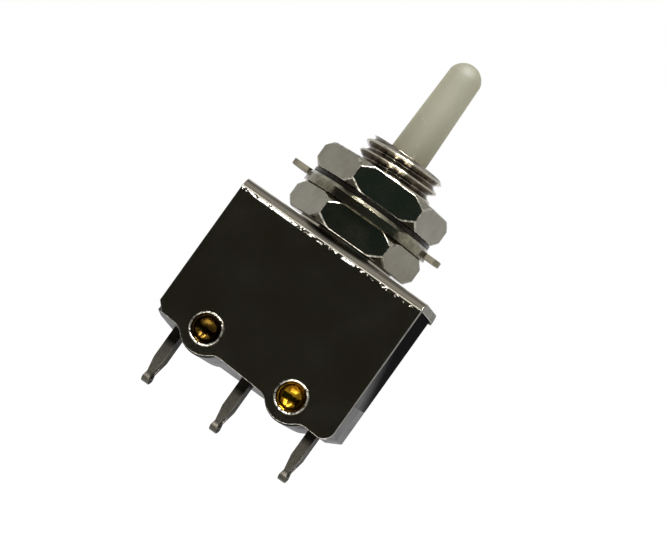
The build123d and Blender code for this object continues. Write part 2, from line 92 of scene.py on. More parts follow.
def put_in_scene(name, data):
    """A new object in the scene, at the origin."""
    thing = bpy.data.objects.new(name, data)
    bpy.context.scene.collection.objects.link(thing)
    return thing


def finish_piece(name, mesh, body, slot, materials, *nodes):
    """Makes a mesh a piece of the switch, which rides on a body and stands for CAD nodes."""
    piece = put_in_scene(name, mesh)
    while len(mesh.materials) < len(materials):
        mesh.materials.append(None)
    for place, material in enumerate(materials):
        mesh.materials[place] = material
    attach(piece, body)
    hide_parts(*nodes)
    return piece


# Finishes. Each names the nodes that a finish built on it reads again: place, plate, polish, dents, flow.

# How far a nut's chamfer faces down, from level at 0, as the painted shade on it darkens.
NUT_UNDERSIDE = (-0.35, -0.6)
# Where other finishes change over their pieces, in mm: from the first number to the second, and back
# again from the third to the fourth where there are four.
CREST_RADII = (2.95, 3.12)
TONGUE_OFFSETS = (5.1, 5.3)
FOLD_HEIGHTS = (-0.72, -0.56, -0.15, -0.02)
BEAD_HEIGHTS = (-0.9, -0.85, -0.77, -0.7)
BEAD_OFFSETS = (-7.5, 4.0)
BASE_SHADE_HEIGHTS = (-13.1, -12.5)
LUG_TIP_HEIGHTS = (-15.1, -15.4)
PLUNGER_DARKENING_HEIGHTS = (8.0, 12.0)
RUBBED_HEIGHTS = (-8.6, -4.6)


def start_material(name):
    """A new material, with its tree, its shader and the place of each point on the piece."""
    material = bpy.data.materials.new(name)
    material.use_nodes = True
    tree = material.node_tree
    place = add(tree, "ShaderNodeTexCoord", name="place").outputs["Object"]
    return material, tree, tree.nodes["Principled BSDF"], place


def plated(name, bright, dull, stain, roughness, dent, grain, slant=1.0, edge=(0.36, 0.66)):
    """A metal clouded from bright to dull, with fine dents that break its glints.

    stain and grain are the sizes of its clouds and dents, and dent is how deep the dents are, all in
    mm. The dents are coarser than real ones, so that they show. roughness runs over the clouds, slant
    is its shine at a slant, and a narrower edge makes the clouds end harder.
    """
    material, tree, shader, place = start_material(name)
    inputs = {"Vector": place, "Scale": per_mm(stain), "Detail": 6.0, "Roughness": 0.62}
    clouds = add(tree, "ShaderNodeTexNoise", inputs).outputs["Fac"]
    share = add(tree, "ShaderNodeMapRange", {"Value": clouds, "From Min": edge[0], "From Max": edge[1]})
    inputs = {"Factor": share.outputs["Result"], "A": linear(bright), "B": linear(dull)}
    plate = add(tree, "ShaderNodeMix", inputs, data_type="RGBA", name="plate")
    inputs = {"Value": clouds, "From Min": 0.3, "From Max": 0.7}
    inputs.update({"To Min": roughness[0], "To Max": roughness[1]})
    polish = add(tree, "ShaderNodeMapRange", inputs, name="polish")
    pits = add(tree, "ShaderNodeTexNoise", {"Vector": place, "Scale": per_mm(grain), "Detail": 3.0})
    inputs = {"Height": pits.outputs["Fac"], "Strength": 1.0, "Distance": dent * MM}
    dents = add(tree, "ShaderNodeBump", inputs, name="dents")
    tree.links.new(plate.outputs["Result"], shader.inputs["Base Color"])
    tree.links.new(polish.outputs["Result"], shader.inputs["Roughness"])
    tree.links.new(dents.outputs["Normal"], shader.inputs["Normal"])
    shader.inputs["Metallic"].default_value = 1.0
    shader.inputs["Specular Tint"].default_value = (slant, slant, slant, 1.0)
    return material


def nut_nickel():
    """Nickel on the nuts: pale on their flats, with painted shade where a chamfer faces down into the
    stack.
    """
    material = plated("nickel_plate_nut", "7F7C70", "706C60", 1.6, (0.1, 0.2), dent=0.006, grain=0.24)
    tree = material.node_tree
    facing = tree.nodes["place"].outputs["Normal"]
    upward = add(tree, "ShaderNodeSeparateXYZ", {"Vector": facing}).outputs["Z"]
    inputs = {"Value": upward, "From Min": NUT_UNDERSIDE[0], "From Max": NUT_UNDERSIDE[1]}
    under = add(tree, "ShaderNodeMapRange", inputs)
    inputs = {"Factor": under.outputs["Result"], "A": tree.nodes["plate"].outputs["Result"]}
    # Painted shade: chamfers that face down darken to this colour, standing in for the dark stack they
    # face.
    inputs["B"] = linear("3A372F")
    colours = add(tree, "ShaderNodeMix", inputs, data_type="RGBA")
    tree.links.new(colours.outputs["Result"], tree.nodes["Principled BSDF"].inputs["Base Color"])
    return material


def thread_nickel():
    """Nickel on the turned thread: brown with handling and oil, and lighter along its crest in a painted
    highlight.

    The lathe's marks run round it, so its glints are drawn out into upright streaks.
    """
    material = plated("nickel_plate_thread", "827C70", "3C362D", 0.5, (0.15, 0.2), dent=0.004, grain=0.16)
    tree = material.node_tree
    shader = tree.nodes["Principled BSDF"]
    spot = add(tree, "ShaderNodeSeparateXYZ", {"Vector": tree.nodes["place"].outputs["Object"]}).outputs
    flat = add(tree, "ShaderNodeCombineXYZ", {"X": spot["X"], "Y": spot["Y"]}).outputs["Vector"]
    radius = add(tree, "ShaderNodeVectorMath", {"Vector": flat}, operation="LENGTH").outputs["Value"]
    inputs = {"Value": radius, "From Min": CREST_RADII[0] * MM, "From Max": CREST_RADII[1] * MM}
    crest = add(tree, "ShaderNodeMapRange", inputs).outputs["Result"]
    # Painted highlight: the crest is lightened to this colour so that it catches more light.
    inputs = {"Factor": crest, "A": tree.nodes["plate"].outputs["Result"], "B": linear("9A9487")}
    colours = add(tree, "ShaderNodeMix", inputs, data_type="RGBA")
    around = add(tree, "ShaderNodeTangent", direction_type="RADIAL", axis="Z").outputs["Tangent"]
    tree.links.new(colours.outputs["Result"], shader.inputs["Base Color"])
    tree.links.new(around, shader.inputs["Tangent"])
    shader.inputs["Anisotropic"].default_value = 0.8
    shader.inputs["Anisotropic Rotation"].default_value = 0.25
    return material


def ring_nickel():
    """Nickel on the ring, tarnished to olive: a soft mirror on its rim, matt and paler on its tongues."""
    name = "nickel_plate_tarnished"
    material = plated(name, "807C6A", "474339", 1.0, (0.14, 0.24), dent=0.02, grain=0.35)
    tree = material.node_tree
    shader = tree.nodes["Principled BSDF"]
    spot = add(tree, "ShaderNodeSeparateXYZ", {"Vector": tree.nodes["place"].outputs["Object"]}).outputs
    across = add(tree, "ShaderNodeMath", {0: spot["X"]}, operation="ABSOLUTE").outputs["Value"]
    inputs = {"Value": across, "From Min": TONGUE_OFFSETS[0] * MM, "From Max": TONGUE_OFFSETS[1] * MM}
    share = add(tree, "ShaderNodeMapRange", inputs).outputs["Result"]
    inputs = {"Factor": share, "A": tree.nodes["plate"].outputs["Result"], "B": linear("6A6558")}
    colours = add(tree, "ShaderNodeMix", inputs, data_type="RGBA")
    inputs = {"Factor": share, "A": tree.nodes["polish"].outputs["Result"], "B": 0.6}
    matt = add(tree, "ShaderNodeMix", inputs)
    tree.links.new(colours.outputs["Result"], shader.inputs["Base Color"])
    tree.links.new(matt.outputs["Result"], shader.inputs["Roughness"])
    return material


def between(tree, height, start, full, last, end):
    """1 from the height full to the height last, in mm, and eased to 0 at start and end."""
    rise = {"Value": height, "From Min": start * MM, "From Max": full * MM}
    fall = {"Value": height, "From Min": last * MM, "From Max": end * MM, "To Min": 1.0, "To Max": 0.0}
    up = add(tree, "ShaderNodeMapRange", rise, interpolation_type="SMOOTHSTEP").outputs["Result"]
    down = add(tree, "ShaderNodeMapRange", fall, interpolation_type="SMOOTHSTEP").outputs["Result"]
    return add(tree, "ShaderNodeMath", {0: up, 1: down}, operation="MULTIPLY").outputs["Value"]


def frame_nickel():
    """Polished nickel on folded steel: a dark mirror on the flat, and rougher with painted shade on the
    fold.

    Along the fold's lower line, beads of light are painted in near white, denser towards -X, each made
    rougher and raised a little by a bump.
    """
    name = "nickel_plate_polished"
    material = plated(name, "B4AFA2", "9C9688", 2.5, (0.08, 0.16), dent=0.0012, grain=0.5)
    tree = material.node_tree
    shader = tree.nodes["Principled BSDF"]
    place = tree.nodes["place"].outputs["Object"]
    spot = add(tree, "ShaderNodeSeparateXYZ", {"Vector": place}).outputs
    fold = between(tree, spot["Z"], *FOLD_HEIGHTS)
    # Painted shade: the fold's colour darkens towards this near black, and the fold is also made rougher
    # below.
    inputs = {"Factor": fold, "A": tree.nodes["plate"].outputs["Result"], "B": linear("282621")}
    fold_shaded = add(tree, "ShaderNodeMix", inputs, data_type="RGBA").outputs["Result"]
    inputs = {"Factor": fold, "A": tree.nodes["polish"].outputs["Result"], "B": 0.5}
    blurred = add(tree, "ShaderNodeMix", inputs).outputs["Result"]
    stretched = add(tree, "ShaderNodeMapping", {"Vector": place, "Scale": (0.6, 1.0, 1.0)})
    inputs = {"Vector": stretched.outputs["Vector"], "Scale": per_mm(0.17), "Detail": 1.0}
    bead_noise = add(tree, "ShaderNodeTexNoise", inputs).outputs["Fac"]
    least = {"Value": spot["X"], "From Min": BEAD_OFFSETS[0] * MM, "From Max": BEAD_OFFSETS[1] * MM}
    least.update({"To Min": 0.38, "To Max": 0.62})
    level = add(tree, "ShaderNodeMapRange", least).outputs["Result"]
    over = add(tree, "ShaderNodeMath", {0: bead_noise, 1: level}, operation="SUBTRACT").outputs["Value"]
    hard = add(tree, "ShaderNodeMath", {0: over, 1: 14.0}, operation="MULTIPLY").outputs["Value"]
    line = between(tree, spot["Z"], *BEAD_HEIGHTS)
    beads = add(tree, "ShaderNodeMath", {0: hard, 1: line}, operation="MULTIPLY").outputs["Value"]
    painted_beads = add(tree, "ShaderNodeMapRange", {"Value": beads}).outputs["Result"]
    # Painted highlight: the beads are coloured near white.
    inputs = {"Factor": painted_beads, "A": fold_shaded, "B": linear("F2F0E8")}
    colours = add(tree, "ShaderNodeMix", inputs, data_type="RGBA")
    frosted = add(tree, "ShaderNodeMix", {"Factor": painted_beads, "A": blurred, "B": 0.6})
    inputs = {"Height": painted_beads, "Strength": 1.0, "Distance": 0.06 * MM}
    inputs["Normal"] = tree.nodes["dents"].outputs["Normal"]
    raised = add(tree, "ShaderNodeBump", inputs)
    tree.links.new(colours.outputs["Result"], shader.inputs["Base Color"])
    tree.links.new(frosted.outputs["Result"], shader.inputs["Roughness"])
    tree.links.new(raised.outputs["Normal"], shader.inputs["Normal"])
    return material


def lug_silver(name, bright, dull, slant):
    """Silver plate on the lugs, with painted shade that makes it nearly black under the base, and darker
    again at the tips.
    """
    material = plated(name, bright, dull, 0.9, (0.24, 0.36), dent=0.006, grain=0.25, slant=slant)
    tree = material.node_tree
    spot = add(tree, "ShaderNodeSeparateXYZ", {"Vector": tree.nodes["place"].outputs["Object"]}).outputs
    inputs = {"Value": spot["Z"]}
    inputs.update({"From Min": BASE_SHADE_HEIGHTS[0] * MM, "From Max": BASE_SHADE_HEIGHTS[1] * MM})
    near = add(tree, "ShaderNodeMapRange", inputs).outputs["Result"]
    inputs = {"Value": spot["Z"], "To Max": 0.75}
    inputs.update({"From Min": LUG_TIP_HEIGHTS[0] * MM, "From Max": LUG_TIP_HEIGHTS[1] * MM})
    tip = add(tree, "ShaderNodeMapRange", inputs).outputs["Result"]
    painted_shade = add(tree, "ShaderNodeMath", {0: near, 1: tip}, operation="MAXIMUM").outputs["Value"]
    # Painted shade: under the base and at the tips the colour darkens towards this near black.
    inputs = {"Factor": painted_shade, "A": tree.nodes["plate"].outputs["Result"], "B": linear("26231E")}
    colours = add(tree, "ShaderNodeMix", inputs, data_type="RGBA")
    tree.links.new(colours.outputs["Result"], tree.nodes["Principled BSDF"].inputs["Base Color"])
    return material


def ivory_nylon():
    """Moulded ivory nylon: light soaks into it, it has faint clouds, and scuffs from a cap pushed on."""
    material, tree, shader, place = start_material("ivory_nylon_moulded")
    clouds = add(tree, "ShaderNodeTexNoise", {"Vector": place, "Scale": per_mm(2.2), "Detail": 3.0})
    inputs = {"Factor": clouds.outputs["Fac"], "A": linear("B6B49A"), "B": linear("ABA98E")}
    ivory = add(tree, "ShaderNodeMix", inputs, data_type="RGBA").outputs["Result"]
    height = add(tree, "ShaderNodeSeparateXYZ", {"Vector": place}).outputs["Z"]
    inputs = {"Value": height, "From Min": PLUNGER_DARKENING_HEIGHTS[0] * MM, "From Max": PLUNGER_DARKENING_HEIGHTS[1] * MM}
    height_share = add(tree, "ShaderNodeMapRange", inputs)
    # Darker towards the bottom of the plunger, fully so below 8 mm.
    inputs = {"Factor": height_share.outputs["Result"], "A": linear("918F75"), "B": ivory}
    darker_below = add(tree, "ShaderNodeMix", inputs, data_type="RGBA").outputs["Result"]
    inputs = {"Vector": place, "Rotation": (0.0, 0.5, 0.0), "Scale": (1.0, 1.0, 0.25)}
    turned = add(tree, "ShaderNodeMapping", inputs).outputs["Vector"]
    inputs = {"Vector": turned, "Scale": per_mm(0.22), "Detail": 4.0}
    scuffs = add(tree, "ShaderNodeTexNoise", inputs).outputs["Fac"]
    worn = add(tree, "ShaderNodeMapRange", {"Value": scuffs, "From Min": 0.64, "From Max": 0.8})
    inputs = {"Factor": worn.outputs["Result"], "A": darker_below, "B": linear("C2C0A9")}
    colours = add(tree, "ShaderNodeMix", inputs, data_type="RGBA")
    bump = add(tree, "ShaderNodeBump", {"Height": scuffs, "Strength": 1.0, "Distance": 0.002 * MM})
    tree.links.new(colours.outputs["Result"], shader.inputs["Base Color"])
    tree.links.new(bump.outputs["Normal"], shader.inputs["Normal"])
    shader.inputs["Roughness"].default_value = 0.62
    shader.inputs["IOR"].default_value = 1.53
    shader.inputs["Subsurface Weight"].default_value = 0.25
    shader.inputs["Subsurface Radius"].default_value = (1.0, 0.9, 0.6)
    shader.inputs["Subsurface Scale"].default_value = 0.6 * MM
    return material


def phenolic(name, shine):
    """Black phenolic moulding: nearly black face on, in faint clouds where the moulding flowed."""
    material, tree, shader, place = start_material(name)
    inputs = {"Vector": place, "Scale": per_mm(1.6), "Detail": 5.0}
    flow = add(tree, "ShaderNodeTexNoise", inputs, name="flow").outputs["Fac"]
    inputs = {"Factor": flow, "A": linear("0E0E10"), "B": linear("19191B")}
    colours = add(tree, "ShaderNodeMix", inputs, data_type="RGBA")
    bump = add(tree, "ShaderNodeBump", {"Height": flow, "Strength": 1.0, "Distance": 0.003 * MM})
    tree.links.new(colours.outputs["Result"], shader.inputs["Base Color"])
    tree.links.new(bump.outputs["Normal"], shader.inputs["Normal"])
    shader.inputs["IOR"].default_value = 1.6
    shader.inputs["Specular IOR Level"].default_value = shine
    return material


def base_phenolic():
    """The base moulding: satin, with a pale sheen where it is seen at a slant."""
    material = phenolic("black_phenolic_satin", shine=0.18)
    tree = material.node_tree
    inputs = {"Value": tree.nodes["flow"].outputs["Fac"], "From Min": 0.3, "From Max": 0.7}
    inputs.update({"To Min": 0.38, "To Max": 0.5})
    satin = add(tree, "ShaderNodeMapRange", inputs).outputs["Result"]
    tree.links.new(satin, tree.nodes["Principled BSDF"].inputs["Roughness"])
    return material


def housing_phenolic():
    """The upper moulding: dull as it left the mould, rubbed to a sheen low on the front of its sides."""
    material = phenolic("black_phenolic_housing", shine=0.1)
    tree = material.node_tree
    shader = tree.nodes["Principled BSDF"]
    grain = tree.nodes["flow"].outputs["Fac"]
    spot = add(tree, "ShaderNodeSeparateXYZ", {"Vector": tree.nodes["place"].outputs["Object"]}).outputs
    back = add(tree, "ShaderNodeMath", {0: spot["Y"], 1: 0.7}, operation="MULTIPLY").outputs["Value"]
    slope = add(tree, "ShaderNodeMath", {0: spot["Z"], 1: back}, operation="ADD").outputs["Value"]
    uneven = add(tree, "ShaderNodeMath", {0: grain, 1: 1.2 * MM}, operation="MULTIPLY").outputs["Value"]
    line = add(tree, "ShaderNodeMath", {0: slope, 1: uneven}, operation="ADD").outputs["Value"]
    reach = {"Value": line, "From Min": RUBBED_HEIGHTS[0] * MM, "From Max": RUBBED_HEIGHTS[1] * MM}
    rubbed = {**reach, "To Min": 0.12, "To Max": 0.004}
    shine = add(tree, "ShaderNodeMapRange", rubbed, interpolation_type="SMOOTHSTEP").outputs["Result"]
    matt = add(tree, "ShaderNodeMapRange", {**reach, "To Min": 0.5, "To Max": 1.0}).outputs["Result"]
    tree.links.new(shine, shader.inputs["Specular IOR Level"])
    tree.links.new(matt, shader.inputs["Roughness"])
    return material


NUT_NICKEL = nut_nickel()
THREAD_NICKEL = thread_nickel()
RING_NICKEL = ring_nickel()
# Zinc-plated spring steel of the lock washer, painted near black as the shade in the gap under the upper
# nut.
WASHER_STEEL = plated("zinc_plate_dark", "2B2824", "161412", 0.6, (0.3, 0.45), dent=0.004, grain=0.2)
# Silver-plated brass lugs: dull grey-brown where the silver has tarnished, and darker on their sheared
# sides.
LUG_SILVER = lug_silver("silver_plate_tarnished", "8E897D", "625E54", slant=1.0)
SHEARED_SILVER = lug_silver("silver_plate_sheared", "5A564C", "3E3B34", slant=0.3)
# Nickel on the rolled ring of each rivet, dented by the setting punch, with bright and dark dashes painted
# in as glints.
DENTS_AND_PAINTED_DASHES = {"dent": 0.04, "grain": 0.16, "edge": (0.46, 0.56)}
RIVET_NICKEL = plated("nickel_plate_rivet", "C2BDB1", "2A2721", 0.3, (0.12, 0.26), **DENTS_AND_PAINTED_DASHES)
# Nickel on the rivets' domed heads at the back, smooth and softly clouded.
HEAD_NICKEL = plated("nickel_plate_head", "B4AFA2", "8F897C", 0.8, (0.14, 0.26), dent=0.004, grain=0.3)
# Bare brass in the rivets' hollow ends, where the plating never reached: a warm gold, and a darker brown in
# the left one.
RIVET_BRASS = plated("brass_bare", "8E6C18", "3E2706", 0.5, (0.1, 0.2), dent=0.03, grain=0.45)
RIVET_BROWN = plated("brass_dark_brown", "43320F", "1A1005", 0.4, (0.1, 0.2), dent=0.05, grain=0.45)
# Bright drawn spring wire.
SPRING_WIRE = plated("spring_wire_drawn", "B9B9B6", "8E8E8A", 0.5, (0.2, 0.3), dent=0.001, grain=0.2)
# Phosphor bronze strip of the rocker, a warm brown metal.
BRONZE = plated("phosphor_bronze_strip", "B98A62", "8F6543", 0.8, (0.22, 0.35), dent=0.002, grain=0.3)
# Silver contact pads, pale and soft in their shine.
CONTACT_SILVER = plated("contact_silver", "D8D7D2", "B4B1A8", 0.3, (0.2, 0.35), dent=0.002, grain=0.2)
# Plain steel of the collar that the springs bear on.
PLAIN_STEEL = plated("plain_steel", "A8A8A4", "83827D", 0.7, (0.25, 0.4), dent=0.002, grain=0.25)
# Nickel burnished by handling along the edges of the nuts and the frame: bright, and broken into small
# beads.
BURNISHED = {"dent": 0.016, "grain": 0.16, "edge": (0.44, 0.58)}
WORN_NICKEL = plated("nickel_plate_burnished", "9C988C", "5E5A50", 0.3, (0.1, 0.2), **BURNISHED)
# Nickel over the frame's sheared sides, which stay grey and rough.
SHEARED = {"dent": 0.01, "grain": 0.15, "slant": 0.6}
SHEARED_NICKEL = plated("nickel_plate_sheared", "7C786D", "565249", 0.5, (0.3, 0.45), **SHEARED)
FRAME_NICKEL = frame_nickel()
IVORY_NYLON = ivory_nylon()
BLACK_PHENOLIC = base_phenolic()
HOUSING_PHENOLIC = housing_phenolic()


# Pieces that keep their CAD shape, with their edges eased

# Material slots of such a piece: its broad faces, the faces towards +X and -X, and its eased edges.
BODY_FACE, SIDE_FACE, EASED_EDGE = range(3)
# How squarely a side faces +X or -X, and the least turn in degrees that is eased.
SIDE_FACING = 0.7
EDGE_ANGLE = 28


def plain(shape):
    """The points and faces of a bmesh, without its custom normals or map."""
    shape.verts.ensure_lookup_table()
    shape.verts.index_update()
    return [v.co.copy() for v in shape.verts], [], [[v.index for v in f.verts] for f in shape.faces]


def eased(node, name, radius, segments, slot, body, side=None, edge=None):
    """A copy of a CAD node with its edges eased to a radius in mm, and a finish of their own if given."""
    shape = bmesh.new()
    shape.from_mesh(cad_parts[node].data)
    bmesh.ops.remove_doubles(shape, verts=shape.verts, dist=0.0002 * MM)
    bmesh.ops.dissolve_limit(shape, angle_limit=math.radians(0.5), verts=shape.verts, edges=shape.edges)
    mesh = bpy.data.meshes.new(name)
    mesh.from_pydata(*plain(shape))
    shape.free()
    mesh.shade_smooth()
    for face in mesh.polygons:
        face.material_index = SIDE_FACE if abs(face.normal.x) > SIDE_FACING else BODY_FACE
    piece = finish_piece(name, mesh, "switch_body", slot, [body, side or body, edge or body], node)
    bevel = piece.modifiers.new("eased edges", "BEVEL")
    bevel.width = radius * MM
    bevel.segments = segments
    bevel.limit_method = "ANGLE"
    bevel.angle_limit = math.radians(EDGE_ANGLE)
    bevel.harden_normals = True
    bevel.material = EASED_EDGE
    bevel.use_clamp_overlap = True


# Turned pieces


def turned(name, profile, steps, ring=False, place=Matrix.Identity(4)):
    """A closed turned solid from (radius, height) points in mm.

    They start and end on the axis, or a ring's go once round its section.
    """
    shape = bmesh.new()
    rows = []
    for radius, height in profile:
        around = steps if radius > 0 else 1
        turns = [2 * math.pi * n / steps for n in range(around)]
        points = [(radius * math.cos(t) * MM, radius * math.sin(t) * MM, height * MM) for t in turns]
        rows.append([shape.verts.new(point) for point in points])
    following = rows[1:] + rows[:1] if ring else rows[1:]
    for low, high in zip(rows, following):
        for n in range(steps):
            corners = [low[n % len(low)], low[(n + 1) % len(low)]]
            corners += [high[(n + 1) % len(high)], high[n % len(high)]]
            shape.faces.new(list(dict.fromkeys(corners)))
    bmesh.ops.transform(shape, matrix=place, verts=shape.verts)
    bmesh.ops.recalc_face_normals(shape, faces=shape.faces)
    mesh = bpy.data.meshes.new(name)
    shape.to_mesh(mesh)
    shape.free()
    mesh.shade_smooth()
    return mesh


def arc(centre, radius, start, end, count):
    """Points along an arc in a profile, from one angle to another in degrees."""
    angles = [math.radians(start + (end - start) * n / count) for n in range(count + 1)]
    return [(centre[0] + radius * math.cos(a), centre[1] + radius * math.sin(a)) for a in angles]


# Plunger
STEM_RADIUS = 1.0
SHOULDER_RADIUS = 2.1
SHOULDER_BOTTOM = 5.95
SHOULDER_TOP = 6.85
PLUNGER_EDGE = 0.1
PLUNGER_FILLET = 0.05
SHAFT_FOOT_RADIUS = 1.5
SHAFT_RADIUS = 1.465
TAPER_START = 8.0
TAPER_STEPS = 12
TIP_RADIUS = 1.27
DOME_HEIGHT = 1.0


def make_plunger():
    """The plunger: a stem, a shoulder under the bushing's mouth, and a tapered shaft with a low dome."""
    low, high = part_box("plunger")
    bottom, top = low.z / MM, high.z / MM
    waist = top - DOME_HEIGHT
    ball = (TIP_RADIUS**2 + DOME_HEIGHT**2) / (2 * DOME_HEIGHT)
    spread = math.degrees(math.asin(TIP_RADIUS / ball))
    inner, under, over = SHOULDER_RADIUS - PLUNGER_EDGE, SHOULDER_BOTTOM, SHOULDER_TOP
    profile = [(0.0, bottom), (STEM_RADIUS - PLUNGER_EDGE, bottom), (STEM_RADIUS, bottom + PLUNGER_EDGE)]
    profile += [(STEM_RADIUS, under - PLUNGER_FILLET), (STEM_RADIUS + PLUNGER_FILLET, under)]
    profile += [(inner, under), (SHOULDER_RADIUS, under + PLUNGER_EDGE)]
    profile += [(SHOULDER_RADIUS, over - PLUNGER_EDGE), (inner, over)]
    profile += [(SHAFT_FOOT_RADIUS, over), (SHAFT_RADIUS, over + PLUNGER_FILLET)]
    profile.append((SHAFT_RADIUS, TAPER_START))
    for n in range(1, TAPER_STEPS):
        radius = SHAFT_RADIUS + (TIP_RADIUS - SHAFT_RADIUS) * n / TAPER_STEPS
        profile.append((radius, TAPER_START + (waist - TAPER_START) * n / TAPER_STEPS))
    profile += arc((0, top - ball), ball, 90 - spread, 90, 14)[:-1]
    profile.append((0.0, top))
    mesh = turned("plunger_shaft", profile, 128)
    finish_piece("plunger_shaft", mesh, "plunger", "ivory_nylon", [IVORY_NYLON], "plunger")
    mesh.set_sharp_from_angle(angle=math.radians(60))


# Rivets: their places drop towards +X with the plate's askew lower edge, by RIVET_SKEW in degrees.
RIVET_X = 3.85
RIVET_Z = -10.55
RIVET_SKEW = 3.1
SHANK_RADIUS = 0.95
# The domed head's profile: radius, and how far it stands off the plate.
HEAD_PROFILE = [(0.0, 0.5), (0.6, 0.49), (1.0, 0.44), (1.3, 0.34), (1.46, 0.2), (1.5, 0.08), (1.48, 0.0)]
HEAD_HEIGHT = 0.5
ROLL_HEIGHT = 0.3
ROLL_FOOT_RADIUS = 1.2
ROLL_RADIUS = 1.24
ROLL_FOOT_HEIGHT = 0.06
ROLL_LIP_RADIUS = 1.16
ROLL_LIP_DROP = 0.08
ROLL_LIP_ROUND = 0.07
CUP_RADIUS = 1.07
CUP_DEPTH = 0.84
CUP_DROP = 0.12
# Inside this radius the bare cup begins.
CUP_EDGE_RADIUS = 1.085
# Material slots of the rivets.
RIVET_RING, RIGHT_CUP, LEFT_CUP, RIVET_HEAD = range(4)


def rivet_centre(side):
    """Where a rivet's axis crosses the plate, as x and z in mm, for side -1 or 1."""
    x = side * RIVET_X
    return x, RIVET_Z - x * math.tan(math.radians(RIVET_SKEW))


def make_rivets():
    """Both rivets: domed heads at the back, and at the front a rolled ring round a brass cup."""
    low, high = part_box("rivets")
    back, front = high.y / MM, -low.y / MM
    sheet_front, sheet_back = front - ROLL_HEIGHT, -(back - HEAD_HEIGHT)
    profile = [(radius, sheet_back - off) for radius, off in HEAD_PROFILE]
    profile += [(SHANK_RADIUS, sheet_back), (SHANK_RADIUS, sheet_front)]
    profile += [(ROLL_FOOT_RADIUS, sheet_front), (ROLL_RADIUS, sheet_front + ROLL_FOOT_HEIGHT)]
    profile += arc((ROLL_LIP_RADIUS, front - ROLL_LIP_DROP), ROLL_LIP_ROUND, 0, 180, 10)
    for angle in range(5, 90, 5):
        a = math.radians(angle)
        profile.append((CUP_RADIUS * math.cos(a), front - CUP_DROP - CUP_DEPTH * math.sin(a)))
    profile.append((0.0, front - CUP_DROP - CUP_DEPTH))
    forwards = Matrix.Rotation(math.radians(90), 4, "X")
    shape = bmesh.new()
    for side in (-1, 1):
        x, z = rivet_centre(side)
        one = turned("rivet", profile, 96, place=Matrix.Translation(Vector((x, 0, z)) * MM) @ forwards)
        shape.from_mesh(one)
        bpy.data.meshes.remove(one)
    for face in shape.faces:
        centre = face.calc_center_median()
        side = 1 if centre.x > 0 else -1
        x, z = rivet_centre(side)
        away = math.hypot(centre.x / MM - x, centre.z / MM - z)
        if centre.y > 0:
            face.material_index = RIVET_HEAD
        elif away < CUP_EDGE_RADIUS:
            face.material_index = RIGHT_CUP if side > 0 else LEFT_CUP
        else:
            face.material_index = RIVET_RING
    mesh = bpy.data.meshes.new("rivets_rolled")
    shape.to_mesh(mesh)
    shape.free()
    mesh.shade_smooth()
    materials = [RIVET_NICKEL, RIVET_BRASS, RIVET_BROWN, HEAD_NICKEL]
    finish_piece("rivets_rolled", mesh, "switch_body", "nickel_rivet", materials, "rivets")


# Shapes that follow a rule, from trees. Each row of a table of sums names its result, then gives the
# operation and what goes in: a number, an input of the tree, or the result of a row above.

THREAD_SIZES = {
    "Crest radius": 3.175,
    "Root radius": 2.7,
    "Inner radius": 2.6,
    "Pitch": 0.81,
    "Bottom": 5.45,
    "Top": 7.8,
    "Chamfer": 0.3,
    "Crest height": 6.8,
    "Keyway floor": 2.62,
    "Keyway half width": 0.5,
}
